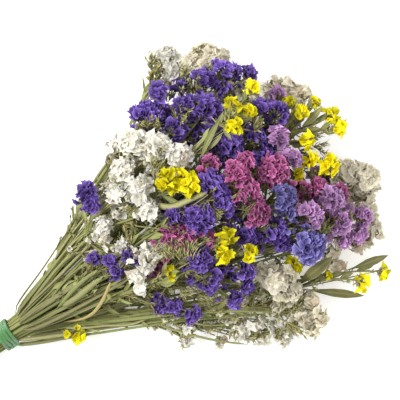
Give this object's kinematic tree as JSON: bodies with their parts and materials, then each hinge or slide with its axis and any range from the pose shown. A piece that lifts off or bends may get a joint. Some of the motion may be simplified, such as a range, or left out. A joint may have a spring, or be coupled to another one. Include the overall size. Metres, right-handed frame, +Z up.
{
  "type": "bunch of dried statice",
  "caption": "Bunch of dried statice in mixed colours, its stems held by a soft band, lying on its side with the flower heads fanned out.",
  "frame": {"origin": "middle of the bunch's bounding box in X and Y, at the surface it lies on", "axes": "+X along the bunch from the cut ends to the flower heads, +Y across it, +Z up from the surface it lies on"},
  "size_m": [0.5034, 0.3276, 0.1237],
  "materials": {
    "tie_green": "soft matt woven band",
    "stem_green": "dry matt olive stem with papery wings",
    "leaf_green": "dry matt dark olive leaf",
    "petals_white": "dry papery matt petals",
    "petals_cream": "dry papery matt petals",
    "petals_purple": "dry papery matt petals",
    "petals_blue": "dry papery matt petals",
    "petals_pink": "dry papery matt petals",
    "petals_lavender": "dry papery matt petals",
    "petals_yellow": "dry papery matt petals"
  },
  "bodies": {
    "root": {"tie_band": "tie_green", "stem_blue_1": "stem_green", "stem_cream_1": "stem_green", "stem_cream_2": "stem_green", "stem_cream_3": "stem_green", "stem_lavender_1": "stem_green", "stem_pink_1": "stem_green", "stem_pink_2": "stem_green", "stem_pink_3": "stem_green", "stem_purple_1": "stem_green", "stem_purple_2": "stem_green", "stem_purple_3": "stem_green", "stem_purple_4": "stem_green", "stem_purple_5": "stem_green", "stem_purple_6": "stem_green", "stem_white_1": "stem_green", "stem_white_2": "stem_green", "stem_white_3": "stem_green", "stem_yellow_1": "stem_green", "stem_yellow_2": "stem_green", "stem_yellow_3": "stem_green", "stem_yellow_4": "stem_green", "flowers_blue_1a": "petals_blue", "flowers_cream_1a": "petals_cream", "flowers_cream_1b": "petals_cream", "flowers_cream_2a": "petals_cream", "flowers_cream_3a": "petals_cream", "flowers_lavender_1a": "petals_lavender", "flowers_lavender_1b": "petals_lavender", "flowers_lavender_1c": "petals_lavender", "flowers_pink_1a": "petals_pink", "flowers_pink_1b": "petals_pink", "flowers_pink_2a": "petals_pink", "flowers_pink_3a": "petals_pink", "flowers_purple_1a": "petals_purple", "flowers_purple_1b": "petals_purple", "flowers_purple_2a": "petals_purple", "flowers_purple_2b": "petals_purple", "flowers_purple_3a": "petals_purple", "flowers_purple_4a": "petals_purple", "flowers_purple_5a": "petals_purple", "flowers_purple_5b": "petals_purple", "flowers_purple_6a": "petals_purple", "flowers_purple_6b": "petals_purple", "flowers_purple_6c": "petals_purple", "flowers_white_1a": "petals_white", "flowers_white_1b": "petals_white", "flowers_white_1c": "petals_white", "flowers_white_2a": "petals_white", "flowers_white_3a": "petals_white", "flowers_yellow_1a": "petals_yellow", "flowers_yellow_1b": "petals_yellow", "flowers_yellow_2a": "petals_yellow", "flowers_yellow_2b": "petals_yellow", "flowers_yellow_3a": "petals_yellow", "flowers_yellow_4a": "petals_yellow", "flowers_yellow_4b": "petals_yellow", "leaf_1": "leaf_green", "leaf_2": "leaf_green", "leaf_3": "leaf_green"}
  },
  "joints": []
}
